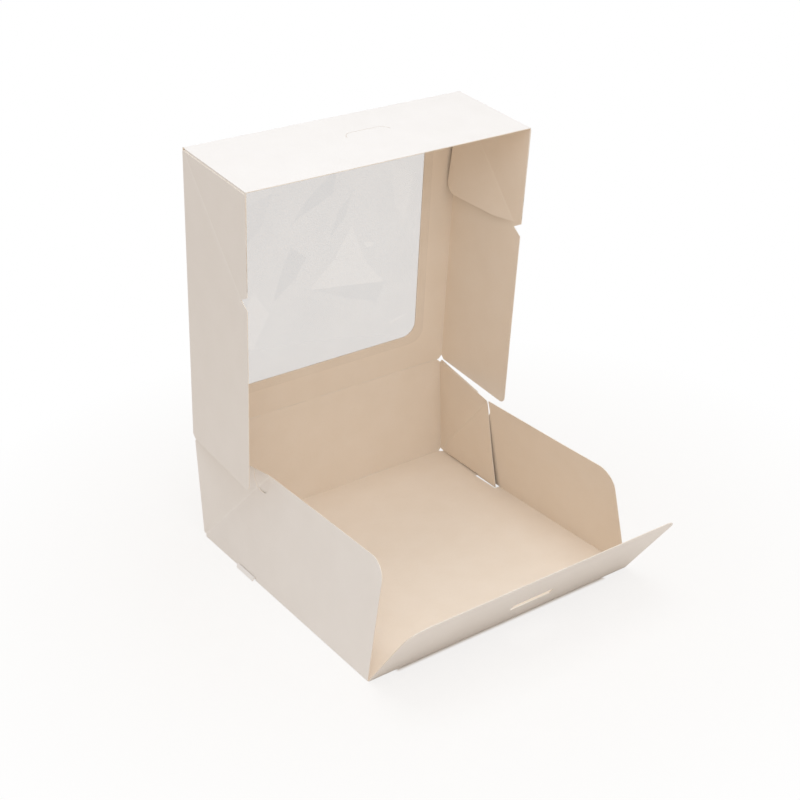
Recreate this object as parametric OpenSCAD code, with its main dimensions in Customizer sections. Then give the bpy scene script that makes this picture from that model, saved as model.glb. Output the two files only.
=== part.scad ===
// Windowed cake box folded from one sheet of paperboard.
// The tray's floor, walls and pre-glued corners are one piece, its front wall is a flap,
// and the lid has three skirt walls, folded front corners and a film window.
// Origin: centre of the tray floor's underside. X to the right, Y to the rear, Z up.

/* [Tray] */
// Width of the square floor, left to right
box_w = 254; // [248:1:262]
// Depth of the square floor, front to rear
box_d = 254; // [248:1:262]
// Height of the walls
wall_h = 96; // [92:1:100]
// Thickness of the paperboard
board_t = 0.6; // [0.5:0.05:0.7]
// Lean of the side walls towards the middle, in degrees
side_lean = 10.5; // [9:0.5:12]
// Radius of the rounded free corners of the walls and the front flap
corner_r = 16; // [10:1:20]

/* [Rear corners] */
// Length of the glued corner flap along its foot
corner_flap_foot = 88; // [84:1:92]
// Length of the glued corner flap along its top
corner_flap_top = 90; // [84:1:92]
// Drop of the corner flap's top edge below the wall's top edge
corner_flap_drop = 1; // [0.5:0.5:2]
// Height of the corner flap's foot above the fold line
corner_flap_lift = 2; // [1.5:0.5:3]
// Size of the clipped corner at the top of the corner flap
corner_clip = 4; // [2:1:6]
// Angle at which the corner flap's lower facet stands off the side wall
facet_open = 3; // [1:0.5:4]
// Length of the locking tab at the corner flap's foot
tab_l = 28; // [20:1:32]
// Reach of the tab's foot beyond the side wall
tab_reach = 3; // [2:0.5:4]
// Centre of the relief notch in the side wall's top edge, from the rear
notch_at = 84.5; // [84:0.5:86]
// Width of the relief notch
notch_w = 20; // [16:1:22]
// Depth of the relief notch
notch_depth = 17.5; // [14:0.5:20]
// Radius of the relief hole at each corner where three panels meet
relief_r = 2; // [1.5:0.1:2.5]

/* [Cut creases] */
// Length of each slit in the crease at the back of the floor
floor_slit_l = 34; // [28:1:38]
// Distance of each slit's centre from the middle
floor_slit_at = 49.5; // [44:0.5:54]
// Width of the slits in the floor crease
floor_slit_w = 1.2; // [0.8:0.1:1.6]
// Length of each cut in the hinge crease
hinge_cut_l = 17; // [14:1:20]
// Distance between neighbouring cuts in the hinge crease
hinge_cut_pitch = 43.5; // [40:0.5:46]
// Position of the middle cut in the hinge crease
hinge_cut_at = -12; // [-14:0.5:-10]
// Depth of the cuts in the hinge crease
hinge_cut_w = 0.9; // [0.7:0.1:1.2]
// Depth of the pressed crease lines in the lid's corners
crease_depth = 0.15; // [0.1:0.05:0.2]
// Width of the pressed crease lines
crease_w = 0.8; // [0.6:0.1:1.2]

/* [Front flap] */
// Length of the front flap from its fold
flap_l = 92; // [88:1:93]
// Angle of the open front flap above the floor's plane
flap_up = 52.5; // [50:0.5:60]
// Clearance at each side edge of the front flap
flap_side_gap = 0.4; // [0.3:0.1:0.6]
// Width of the locking slot
lock_slot_w = 39.5; // [36:0.5:44]
// Depth of the locking slot
lock_slot_h = 9.5; // [8:0.5:11]
// Distance of the locking slot's near edge from the fold
lock_slot_from = 29.5; // [26:0.5:34]
// Position of the locking slot and its tongue, right of the middle
lock_at = 10; // [0:1:14]

/* [Lid] */
// Angle between the closed and the open lid
lid_open = 83; // [75:1:90]
// Clearance between the lid's side walls and the tray's
lid_gap = 0.7; // [0.5:0.1:1]
// Height of the closed lid's rim above the floor's underside
lid_rim_z = 3.5; // [3:0.5:5]
// Radius of the lid side wall's free corner at the hinge
lid_corner_r = 6; // [4:1:10]
// Length of the lid's glued front corner flap
lid_flap_l = 90; // [86:1:92]
// Distance of the lid's corner flap from the top panel
lid_flap_lift = 2.5; // [2:0.5:4]
// Angle at which the corner flap's upper facet stands off
lid_facet_open = 8; // [6:0.5:10]
// Distance of the V notch in the lid's rim from the front fold
vee_at = 88; // [86:1:90]
// Width of the V notch
vee_w = 11; // [9:1:13]
// Depth of the V notch
vee_depth = 9; // [7:1:11]
// Gap between the front wall and the side wall's cut edge
edge_gap = 1.2; // [0.8:0.1:1.5]

/* [Window] */
// Width of the frame left and right of the window
frame_side = 33; // [29:1:37]
// Width of the frame between the hinge and the window
frame_rear = 34.5; // [30:0.5:38]
// Width of the frame between the window and the front fold
frame_front = 33; // [30:1:38]
// Radius of the window's corners
window_r = 13; // [10:1:16]
// Overlap of the film on the frame
film_overlap = 9; // [7:1:11]
// Thickness of the window film
film_t = 0.15; // [0.1:0.05:0.2]

/* [Locking tongue] */
// Width of the half-moon tongue in the lid's front wall
tongue_w = 40; // [36:1:44]
// Height of the half-moon tongue
tongue_h = 7.5; // [6:0.5:9]
// Distance of the tongue's ends from the lid's front fold
tongue_from = 41; // [38:1:44]
// Width of the cut round the tongue
tongue_cut = 0.3; // [0.2:0.05:0.4]

/* [Hidden] */

white = "whitesmoke";
fold_gap = 0.3;
glue_bite = 0.04;
fold_r = board_t / 2;
bead_fn = 16;
arc_fn = 64;
fold_steps = 6;
fold_ease = 0.01;
fold_tuck = 12;
mitre = 0.05;

// Fold lines on the middle of the board
side_x = box_w / 2 - board_t / 2;
rear_y = box_d / 2 - board_t / 2;
front_y = -box_d / 2;
fold_z = board_t / 2;
panel_h = wall_h - fold_z;
panel_l = rear_y - front_y;
glue_step = board_t - glue_bite;
back_half = side_x - glue_step;

// Hinge lines
hinge_z = wall_h + fold_gap + fold_r;
flap_y = front_y - fold_gap - fold_r;
flap_half = box_w / 2 - flap_side_gap;

// Lid, measured from its hinge when it is closed
lid_x = box_w / 2 + lid_gap + board_t / 2;
lid_front_y = flap_y - 2 * fold_r - lid_gap;
lid_l = rear_y - lid_front_y;
lid_wall = hinge_z - lid_rim_z;
lid_flap_x = lid_x - glue_step;
lid_side_l = lid_l - fold_r - edge_gap;

// A sheet standing on a fold line: local X runs to the front and local Y up
module upright_sheet() {
    rotate([90, 0, -90])
        translate([0, 0, -board_t / 2])
            linear_extrude(board_t)
                children();
}

// Points along an arc from one angle to another
function arc_points(centre, r, from, to, steps) =
    [for (i = [0:steps]) let (a = from + (to - from) * i / steps) centre + r * [cos(a), sin(a)]];

// Rounded back of a fold along local Z, between the outward normals of its two panels
module fold_back(length, from, to) {
    mid = (from + to) / 2;
    linear_extrude(length)
        polygon(concat(
            [-0.5 * fold_r * [cos(mid), sin(mid)]],
            arc_points([0, 0], fold_r - fold_ease, from - fold_tuck, to + fold_tuck, fold_steps)
        ));
}

// Turns local Z to the front, with local X to the right and local Y up
module run_to_front() {
    rotate([90, 0, 0]) children();
}

// Turns local Z to the right, with local X to the rear and local Y up
module run_to_right() {
    rotate([90, 0, 90]) children();
}

// Relief hole cut along the corner's own diagonal where panels meet; side is 1 above, -1 below
module relief_hole(r, side = 1) {
    tilt = 90 - side * 35.26;
    rotate([0, tilt, 135])
        translate([0, 0, -3 * r]) cylinder(h = 6 * r, r = r, $fn = arc_fn);
}

// Both sides of a shape that is the same left and right
module both_sides() {
    children();
    mirror([1, 0, 0]) children();
}

// Quarter cut that rounds a convex corner at the origin of local axes
module corner_waste(r) {
    difference() {
        translate([-r, -r]) square([r + 1, r + 1]);
        translate([-r, -r]) circle(r, $fn = arc_fn);
    }
}

// Points where the diagonal fold meets a given height on the leaning panel
function on_panel(s) = [s * cos(side_lean), s];
function on_corner(s) = [s, s * cos(side_lean)];

// Where the corner flap's slanted front edge crosses the diagonal fold
flap_slope = (corner_flap_foot - corner_flap_top) / panel_h;
cross_s = corner_flap_foot / (1 + flap_slope);
top_fall = panel_h * (1 - cos(side_lean)) / panel_h;

// Leaning front part of a side wall, below the diagonal fold
module side_panel_outline() {
    difference() {
        polygon([
            [0, 0],
            [panel_l, 0],
            [panel_l, panel_h],
            on_panel(panel_h) - [mitre, 0],
            [0, mitre]
        ]);
        translate([panel_l, panel_h]) corner_waste(corner_r);
    }
}

// Upright corner of a side wall, above the diagonal fold
module side_corner_outline() {
    polygon([
        [0, 0],
        [mitre, 0],
        on_corner(panel_h) - [0, mitre],
        on_corner(panel_h),
        [0, panel_h]
    ]);
}

// Upper facet of the glued corner flap
module flap_upper_outline() {
    lift = corner_flap_lift;
    top = panel_h - corner_flap_drop;
    front_top = top - corner_flap_top * top_fall;
    polygon([
        [0, lift],
        [0, top],
        [corner_flap_top - corner_clip, front_top],
        [corner_flap_top, front_top - corner_clip],
        on_corner(cross_s) - [0, mitre],
        on_corner(lift) + [mitre, 0]
    ]);
}

// Lower facet of the glued corner flap with its locking tab
module flap_lower_outline() {
    lift = corner_flap_lift;
    union() {
        polygon([
            on_panel(lift) + [0, mitre],
            on_panel(cross_s) - [mitre, 0],
            [corner_flap_foot, lift],
            on_panel(lift)
        ]);
        translate([corner_flap_foot - tab_l, board_t - 0.1])
            square([tab_l, lift + 0.4]);
    }
}

// Moves a sheet from the box's axes to the left rear corner
module at_left_corner(inset = 0) {
    translate([-(side_x - inset), rear_y, fold_z])
        children();
}

module left_side_wall() {
    at_left_corner() {
        rotate([0, side_lean, 0]) upright_sheet() side_panel_outline();
        rotate([0, 0, side_lean]) upright_sheet() side_corner_outline();
        run_to_front() fold_back(panel_l, 180 - side_lean, 270);
    }
}

module left_corner_flap() {
    diagonal = [tan(side_lean), -1, 1];
    at_left_corner(glue_step) {
        rotate([0, 0, side_lean]) upright_sheet() flap_upper_outline();
        rotate(a = facet_open, v = diagonal)
            rotate([0, side_lean, 0]) upright_sheet() flap_lower_outline();
        translate([0, 0, corner_flap_lift])
            fold_back(panel_h - corner_flap_drop - corner_flap_lift, 90, 180 + side_lean);
    }
}

// Plan of the tab's foot, turned outwards under the side wall
module tab_foot() {
    rear = rear_y - (corner_flap_foot - tab_l);
    inner = side_x - glue_step - 4.2;
    translate([-(box_w / 2 + tab_reach), rear - tab_l, 0])
        linear_extrude(board_t)
            difference() {
                square([box_w / 2 + tab_reach - inner, tab_l]);
                translate([0, tab_l]) mirror([1, 0]) corner_waste(2.2);
            }
}

// Opening in the floor fold that the tab passes through
module tab_slot() {
    slack = 0.8;
    rear = rear_y - (corner_flap_foot - tab_l) + slack;
    inner = side_x - glue_step - 4.8;
    translate([-(box_w / 2 + 1), rear - tab_l - 2 * slack, -1])
        cube([box_w / 2 + 1 - inner, tab_l + 2 * slack, 1 + board_t + fold_gap]);
}

// Rounded relief notch where the diagonal fold reaches the wall's top
module relief_notch() {
    half = notch_w / 2;
    r = half - 2;
    bottom = fold_z + panel_h * cos(side_lean) - notch_depth;
    translate([-box_w / 2 - 5, rear_y - notch_at, bottom])
        run_to_right()
            linear_extrude(40)
                polygon(concat(
                    [[half, notch_depth + 10], [-half, notch_depth + 10]],
                    arc_points([r - half, r], r, 180, 270, 12),
                    arc_points([half - r, r], r, 270, 360, 12)
                ));
}

module back_wall() {
    translate([-back_half, rear_y - board_t / 2, fold_z])
        cube([2 * back_half, board_t, panel_h]);
    translate([-side_x, rear_y, fold_z])
        run_to_right() fold_back(2 * side_x, 270, 360);
}

module floor_panel() {
    translate([-side_x, front_y, 0])
        cube([2 * side_x, panel_l, board_t]);
}

// Slits in the crease between the floor and the back wall
module floor_slits() {
    for (side = [-1, 1])
        translate([side * floor_slit_at - floor_slit_l / 2, rear_y - floor_slit_w + fold_r, -1])
            cube([floor_slit_l, floor_slit_w + 1, 1 + floor_slit_w]);
}

module base_tray() {
    color(white) {
        difference() {
            union() {
                difference() {
                    union() {
                        floor_panel();
                        back_wall();
                        both_sides() left_side_wall();
                    }
                    both_sides() {
                        tab_slot();
                        relief_notch();
                    }
                }
                both_sides() {
                    left_corner_flap();
                    tab_foot();
                }
            }
            floor_slits();
            both_sides() {
                translate([-side_x, rear_y, fold_z]) relief_hole(relief_r, -1);
                translate([-side_x, rear_y, hinge_z]) relief_hole(relief_r);
            }
        }
    }
}

// Flap outline: local X across the box, local Y from the fold to the free edge
module flap_outline() {
    difference() {
        translate([-flap_half, 0]) square([2 * flap_half, flap_l]);
        translate([flap_half, flap_l]) corner_waste(corner_r);
        mirror([1, 0]) translate([flap_half, flap_l]) corner_waste(corner_r);
        translate([lock_at - lock_slot_w / 2, lock_slot_from])
            square([lock_slot_w, lock_slot_h]);
    }
}

module front_flap() {
    color(white)
        translate([0, flap_y, fold_z])
            rotate([180 - flap_up, 0, 0]) {
                translate([0, 0, -board_t / 2])
                    linear_extrude(board_t)
                        flap_outline();
                translate([-flap_half, 0, 0])
                    rotate([0, 90, 0]) cylinder(h = 2 * flap_half, r = fold_r, $fn = bead_fn);
            }
}

// Places the lid, drawn closed with its hinge at the origin, in its open position
module lid_pose() {
    translate([0, rear_y, hinge_z])
        rotate([-lid_open, 0, 0])
            children();
}

// Rectangle of the window, grown by a margin that follows the frame's edge
module window_outline(margin = 0) {
    half = lid_x - frame_side + margin;
    near = frame_rear - margin;
    far = lid_l - frame_front + margin;
    r = window_r;
    translate([-half + r, -far]) square([2 * (half - r), far - near]);
    translate([-half, -far + r]) square([2 * half, far - near - 2 * r]);
    for (x = [-half + r, half - r], y = [-far + r, -near - r])
        translate([x, y]) circle(r, $fn = arc_fn);
}

module lid_panel() {
    difference() {
        translate([-lid_x, -lid_l, -board_t / 2])
            cube([2 * lid_x, lid_l, board_t]);
        translate([0, 0, -1]) linear_extrude(2) window_outline();
        for (k = [-2:2])
            translate([hinge_cut_at + k * hinge_cut_pitch - hinge_cut_l / 2, -hinge_cut_w + fold_r, -1])
                cube([hinge_cut_l, hinge_cut_w + 1, 2]);
    }
}

// Root bead of the top panel, left open where the hinge crease is cut
module lid_root_bead() {
    difference() {
        translate([-lid_x, 0, 0]) run_to_right() fold_back(2 * lid_x, -90, 90);
        for (k = [-2:2])
            translate([hinge_cut_at + k * hinge_cut_pitch - hinge_cut_l / 2, -1, -1])
                cube([hinge_cut_l, 2, 2]);
    }
}

// Lid side wall: local X from the hinge to the front, local Y down from the panel
module lid_side_outline() {
    vee_x = lid_l - vee_at;
    difference() {
        square([lid_side_l, lid_wall]);
        mirror([1, 0]) translate([0, lid_wall]) corner_waste(lid_corner_r);
        polygon([
            [vee_x - vee_w / 2, lid_wall + 0.5],
            [vee_x, lid_wall - vee_depth],
            [vee_x + vee_w / 2, lid_wall + 0.5]
        ]);
    }
}

// Diagonal crease pressed into the outside of the lid's side wall
module lid_diagonal_crease() {
    start = [lid_side_l - 4, 4 + 1];
    end = [lid_l - vee_at + 1, lid_wall - vee_depth];
    run = end - start;
    translate([start[0], start[1], board_t / 2 - crease_depth])
        rotate([0, 0, atan2(run[1], run[0])])
            translate([0, -crease_w / 2, 0])
                cube([norm(run), crease_w, 1]);
}

module lid_left_wall() {
    translate([-lid_x, 0, 0])
        mirror([0, 0, 1])
            rotate([90, 0, -90])
                difference() {
                    translate([0, 0, -board_t / 2])
                        linear_extrude(board_t) lid_side_outline();
                    lid_diagonal_crease();
                }
    translate([-lid_x, 0, 0]) run_to_front() fold_back(lid_side_l, 90, 180);
}

// Glued facet of the lid's corner flap, on the rim side of its diagonal
module lid_flap_glued_outline() {
    reach = lid_flap_l * 0.93;
    polygon([
        [0, lid_flap_lift],
        [0, lid_wall],
        [reach - 6, lid_wall],
        [reach, lid_wall - vee_depth],
        [reach, reach],
        [lid_flap_lift, lid_flap_lift]
    ]);
}

// Free facet of the lid's corner flap, on the panel side of its diagonal
module lid_flap_free_outline() {
    reach = lid_flap_l * 0.93;
    r = 10;
    difference() {
        polygon([
            [lid_flap_lift, lid_flap_lift],
            [reach, reach],
            [lid_flap_l, lid_flap_lift]
        ]);
        translate([lid_flap_l - 3.2, 0]) square([10, 60]);
        translate([lid_flap_l - 3.2, lid_flap_lift])
            mirror([0, 1]) corner_waste(r);
    }
}

// Corner flap folded back from the lid's front wall inside its side wall
module lid_left_corner_flap() {
    translate([-lid_flap_x, -lid_l, 0]) {
        mirror([0, 0, 1]) mirror([0, 1, 0]) {
            upright_sheet() lid_flap_glued_outline();
            rotate(a = lid_facet_open, v = [0, -1, 1])
                upright_sheet() lid_flap_free_outline();
        }
        translate([0, 0, -lid_wall]) fold_back(lid_wall - lid_flap_lift, 180, 270);
    }
}

// Narrow arched cut of the half-moon tongue: chord on local X, arch above it
module tongue_cut_outline() {
    r = tongue_h;
    span = tongue_w / 2 - r;
    polygon(concat(
        arc_points([span, 0], r, 0, 90, 12),
        arc_points([-span, 0], r, 90, 180, 12),
        arc_points([-span, 0], r - tongue_cut, 180, 90, 12),
        arc_points([span, 0], r - tongue_cut, 90, 0, 12)
    ));
}

module lid_front_wall() {
    difference() {
        translate([-lid_flap_x, -lid_l - board_t / 2, -lid_wall])
            cube([2 * lid_flap_x, board_t, lid_wall]);
        translate([lock_at, -lid_l + 1, -tongue_from])
            rotate([90, 0, 0])
                linear_extrude(2)
                    tongue_cut_outline();
    }
    translate([-lid_x, -lid_l, 0]) run_to_right() fold_back(2 * lid_x, 90, 180);
}

module lid() {
    color(white)
        lid_pose()
            difference() {
                union() {
                    lid_panel();
                    lid_root_bead();
                    lid_front_wall();
                    both_sides() {
                        lid_left_wall();
                        lid_left_corner_flap();
                    }
                }
                both_sides() {
                    translate([-lid_x, 0, 0]) relief_hole(relief_r);
                    translate([-lid_x, -lid_l, 0]) relief_hole(relief_r * 0.6);
                }
            }
}

module window_film() {
    color([0.93, 0.93, 0.92, 0.35])
        lid_pose()
            translate([0, 0, -board_t / 2 - film_t])
                linear_extrude(film_t)
                    window_outline(film_overlap);
}

base_tray();
front_flap();
lid();
window_film();
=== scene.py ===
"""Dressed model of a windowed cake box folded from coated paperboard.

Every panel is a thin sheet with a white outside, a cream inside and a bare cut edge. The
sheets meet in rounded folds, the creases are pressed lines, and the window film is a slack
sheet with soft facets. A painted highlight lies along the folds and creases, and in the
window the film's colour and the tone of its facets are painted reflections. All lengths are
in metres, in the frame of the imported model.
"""

from __future__ import annotations

import logging
import math
from dataclasses import dataclass, field
from enum import Enum
from typing import Callable, Sequence

import bpy
import numpy as np
from mathutils import Matrix, Vector
from mathutils.geometry import delaunay_2d_cdt

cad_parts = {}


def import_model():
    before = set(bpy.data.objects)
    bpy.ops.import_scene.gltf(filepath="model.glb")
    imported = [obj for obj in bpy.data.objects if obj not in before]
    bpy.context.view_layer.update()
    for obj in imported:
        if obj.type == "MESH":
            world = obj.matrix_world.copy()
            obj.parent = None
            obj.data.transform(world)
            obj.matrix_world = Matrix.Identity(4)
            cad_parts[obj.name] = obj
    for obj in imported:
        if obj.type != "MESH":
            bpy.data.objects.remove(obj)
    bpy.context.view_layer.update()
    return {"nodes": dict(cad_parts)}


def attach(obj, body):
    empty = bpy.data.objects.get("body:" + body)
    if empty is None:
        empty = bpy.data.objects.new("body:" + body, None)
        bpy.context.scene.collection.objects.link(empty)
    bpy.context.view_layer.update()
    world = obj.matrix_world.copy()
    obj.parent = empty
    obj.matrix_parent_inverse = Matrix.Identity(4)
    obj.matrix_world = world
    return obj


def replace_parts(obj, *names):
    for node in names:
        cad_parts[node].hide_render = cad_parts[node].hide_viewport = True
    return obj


LOG = logging.getLogger("cake_box")
MM = 0.001

ROW_SHARE = 0.87  # height of a row of mesh points, as a share of their spacing
RIM_SHARE = 0.45  # nearest mesh point to the rim, as a share of the spacing
CREASE_SHARE = 0.7  # distance between mesh points along a crease, as a share of the spacing
CREASE_CLEAR = 0.25 * MM  # nearest crease point to the rim
CREASE_ROWS = (-2.4, -1.1, 0.0, 1.1, 2.4)  # rows beside a crease, in spreads
CREASE_FADE = 1.5 * MM  # length over which a crease fades out at its ends
FOLD_HIGHLIGHT = 0.6  # how strongly a fold's rounded back carries the painted highlight of a crease
SHARP_ANGLE = math.radians(28)  # edges sharper than this stay sharp
SHEET_SPAN = 0.6  # length that the surface coordinates cover
MERGE = 1e-8  # points closer than this are one point

Point = tuple[float, float]
Loop = list[Point]
Edges = list[tuple[int, int]]
Colour = tuple[float, float, float]
Bow = Callable[[np.ndarray, np.ndarray], np.ndarray]


class Side(Enum):
    """Left or right half of the box, seen from the front flap."""

    LEFT = -1
    RIGHT = 1


class Face(Enum):
    """Material slot of a sheet's two faces and its cut edge."""

    OUTSIDE = 0
    INSIDE = 1
    CUT_EDGE = 2


@dataclass(frozen=True)
class BoxSizes:
    """Sizes of the folded box, in metres; the same values as the construction's."""

    width: float = 254 * MM
    depth: float = 254 * MM
    wall: float = 96 * MM
    board: float = 0.6 * MM
    lean: float = math.radians(10.5)
    corner: float = 16 * MM
    fold_gap: float = 0.3 * MM
    glue_step: float = 0.56 * MM

    flap_length: float = 92 * MM
    flap_up: float = math.radians(52.5)
    flap_side_gap: float = 0.4 * MM
    slot_width: float = 39.5 * MM
    slot_height: float = 9.5 * MM
    slot_from: float = 29.5 * MM
    lock_at: float = 10 * MM

    lid_open: float = math.radians(83)
    lid_gap: float = 0.7 * MM
    lid_rim: float = 3.5 * MM
    edge_gap: float = 1.2 * MM

    @property
    def half_board(self) -> float:
        """Half the board's thickness."""
        return self.board / 2

    @property
    def side_x(self) -> float:
        """Distance of the tray's side folds from the middle."""
        return self.width / 2 - self.half_board

    @property
    def rear_y(self) -> float:
        """Position of the fold between the floor and the back wall."""
        return self.depth / 2 - self.half_board

    @property
    def front_y(self) -> float:
        """Position of the floor's front edge."""
        return -self.depth / 2

    @property
    def panel_height(self) -> float:
        """Height of a wall from its fold line."""
        return self.wall - self.half_board

    @property
    def panel_length(self) -> float:
        """Length of a side wall from the rear fold to its front edge."""
        return self.rear_y - self.front_y

    @property
    def hinge(self) -> Vector:
        """Middle of the lid's hinge line."""
        return Vector((0.0, self.rear_y, self.wall + self.fold_gap + self.half_board))

    @property
    def flap_root(self) -> Vector:
        """Middle of the front flap's fold line."""
        return Vector((0.0, self.front_y - self.fold_gap - self.half_board, self.half_board))

    @property
    def lid_x(self) -> float:
        """Distance of the lid's side folds from the middle."""
        return self.width / 2 + self.lid_gap + self.half_board

    @property
    def lid_length(self) -> float:
        """Length of the lid's top panel from the hinge to its front fold."""
        return self.rear_y - (self.flap_root.y - self.board - self.lid_gap)

    @property
    def lid_wall(self) -> float:
        """Depth of the lid's walls from the top panel to the rim."""
        return self.hinge.z - self.lid_rim

    @property
    def lid_side_length(self) -> float:
        """Length of a lid side wall from the hinge to its front cut edge."""
        return self.lid_length - self.half_board - self.edge_gap


@dataclass(frozen=True)
class Plane:
    """A flat placement: a panel's own axes in the box's frame."""

    origin: Vector
    along: Vector
    up: Vector
    out: Vector

    def mirrored(self, side: Side) -> "Plane":
        """The same placement on the other side of the box.

        Args:
            side: the half that the result is on; LEFT returns the plane as it is.

        Returns:
            The plane for that half.
        """
        if side is Side.LEFT:
            return self
        flip = Matrix.Scale(-1, 3, (1, 0, 0))
        return Plane(flip @ self.origin, flip @ self.along, flip @ self.up, flip @ self.out)

    def turned(self, pivot: Vector, axis: Vector, angle: float) -> "Plane":
        """The placement turned about a line.

        Args:
            pivot: a point on the line.
            axis: direction of the line.
            angle: angle in radians, by the right-hand rule.

        Returns:
            The turned plane.
        """
        turn = Matrix.Rotation(angle, 3, axis)
        return Plane(
            pivot + turn @ (self.origin - pivot), turn @ self.along, turn @ self.up, turn @ self.out
        )

    def at(self, u: float, v: float, h: float = 0.0) -> Vector:
        """The point u along, v up and h outwards."""
        return self.origin + self.along * float(u) + self.up * float(v) + self.out * float(h)


def arc(centre: Point, radius: float, start: float, end: float, steps: int = 10) -> Loop:
    """Points along an arc.

    Args:
        centre: centre of the arc.
        radius: its radius.
        start: first angle in degrees.
        end: last angle in degrees.
        steps: number of chords.

    Returns:
        The points from the first angle to the last.
    """
    angles = [math.radians(start + (end - start) * i / steps) for i in range(steps + 1)]
    return [(centre[0] + radius * math.cos(a), centre[1] + radius * math.sin(a)) for a in angles]


def refined(loop: Sequence[Point], spacing: float) -> Loop:
    """A closed loop with no side longer than a spacing.

    Args:
        loop: corner points of the loop.
        spacing: longest side allowed.

    Returns:
        The loop with points added along its long sides.
    """
    out: Loop = []
    for i, a in enumerate(loop):
        b = loop[(i + 1) % len(loop)]
        parts = max(1, math.ceil(math.dist(a, b) / spacing))
        out += [
            (a[0] + (b[0] - a[0]) * k / parts, a[1] + (b[1] - a[1]) * k / parts)
            for k in range(parts)
        ]
    return out


def inside(points: np.ndarray, loops: Sequence[np.ndarray]) -> np.ndarray:
    """Even-odd test of points against closed loops.

    Args:
        points: n by 2 array.
        loops: closed loops, holes among them.

    Returns:
        True for each point that lies inside.
    """
    result = np.zeros(len(points), bool)
    x, y = points[:, 0], points[:, 1]
    for loop in loops:
        nxt = np.roll(loop, -1, axis=0)
        for (ax, ay), (bx, by) in zip(loop, nxt):
            if ay == by:
                continue
            crosses = (ay > y) != (by > y)
            result ^= crosses & (x < (bx - ax) * (y - ay) / (by - ay) + ax)
    return result


def line_distance(u: np.ndarray, v: np.ndarray, start: Point, end: Point) -> np.ndarray:
    """Signed distance of points from the straight line through two points.

    Args:
        u: first coordinates of the points.
        v: their second coordinates.
        start: one point of the line.
        end: another point of it.

    Returns:
        The distance of each point, positive on the line's right.
    """
    run = np.array(end) - np.array(start)
    length = float(np.hypot(*run))
    return ((u - start[0]) * run[1] - (v - start[1]) * run[0]) / length


def flat(u: np.ndarray, v: np.ndarray) -> np.ndarray:
    """No bow at all."""
    return np.zeros_like(u)


def joined(loops: Sequence[Loop]) -> tuple[Loop, Edges]:
    """Closed loops as one list of points, with the edges between them.

    Args:
        loops: closed loops.

    Returns:
        All points in order, and the edges as pairs of their places in that list.
    """
    points: Loop = []
    edges: Edges = []
    for loop in loops:
        first, count = len(points), len(loop)
        points += loop
        edges += [(first + i, first + (i + 1) % count) for i in range(count)]
    return points, edges


def triangulated(
    points: Loop, edges: Edges
) -> tuple[np.ndarray, list[tuple[int, ...]], np.ndarray]:
    """Triangles between points, which keep to the given edges.

    Args:
        points: points of the plane.
        edges: edges that the triangles keep.

    Returns:
        The points, the triangles as triples of their places, and the triangles' centres.
    """
    found = delaunay_2d_cdt([Vector(p) for p in points], edges, [], 0, MERGE)
    spots = np.array([(p[0], p[1]) for p in found[0]])
    triangles = [tuple(f) for f in found[2] if len(f) == 3]
    centres = np.array([spots[list(f)].mean(0) for f in triangles])
    return spots, triangles, centres


def anticlockwise(corners: tuple[int, ...], spots: np.ndarray) -> tuple[int, ...]:
    """A triangle's corners in anticlockwise order."""
    a, b, c = (spots[i] for i in corners)
    return corners if np.cross(b - a, c - a) > 0 else corners[::-1]


def linked(name: str, mesh: bpy.types.Mesh) -> bpy.types.Object:
    """Makes an object from a mesh and puts it in the scene.

    Args:
        name: name of the object.
        mesh: its mesh.

    Returns:
        The new object.
    """
    obj = bpy.data.objects.new(name, mesh)
    bpy.context.scene.collection.objects.link(obj)
    return obj


@dataclass(frozen=True)
class Crease:
    """A pressed line across a panel; it also carries a painted highlight."""

    start: Point
    end: Point
    depth: float = 0.12 * MM
    spread: float = 0.65 * MM

    def rows(self, step: float) -> Loop:
        """Mesh points in rows beside the crease.

        Args:
            step: distance between points along the crease.

        Returns:
            Points that let the mesh follow the pressed line.
        """
        run = np.array(self.end) - np.array(self.start)
        length = float(np.hypot(*run))
        run /= length
        normal = np.array([-run[1], run[0]])
        count = max(2, int(length / step))
        points: Loop = []
        for offset in CREASE_ROWS:
            for k in range(1, count):
                p = np.array(self.start) + run * length * k / count + normal * offset * self.spread
                points.append((float(p[0]), float(p[1])))
        return points

    def strength(self, u: np.ndarray, v: np.ndarray) -> np.ndarray:
        """How strongly the crease presses each point; the same share sets its painted highlight.

        Args:
            u: first coordinates of the points.
            v: their second coordinates.

        Returns:
            A share from 0 to 1 for each point.
        """
        run = np.array(self.end) - np.array(self.start)
        length = float(np.hypot(*run))
        run = run / length
        along = (u - self.start[0]) * run[0] + (v - self.start[1]) * run[1]
        across = line_distance(u, v, self.start, self.end)
        ends = np.clip(np.minimum(along, length - along) / CREASE_FADE + 1, 0, 1)
        return np.exp(-((across / self.spread) ** 2)) * ends


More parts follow.
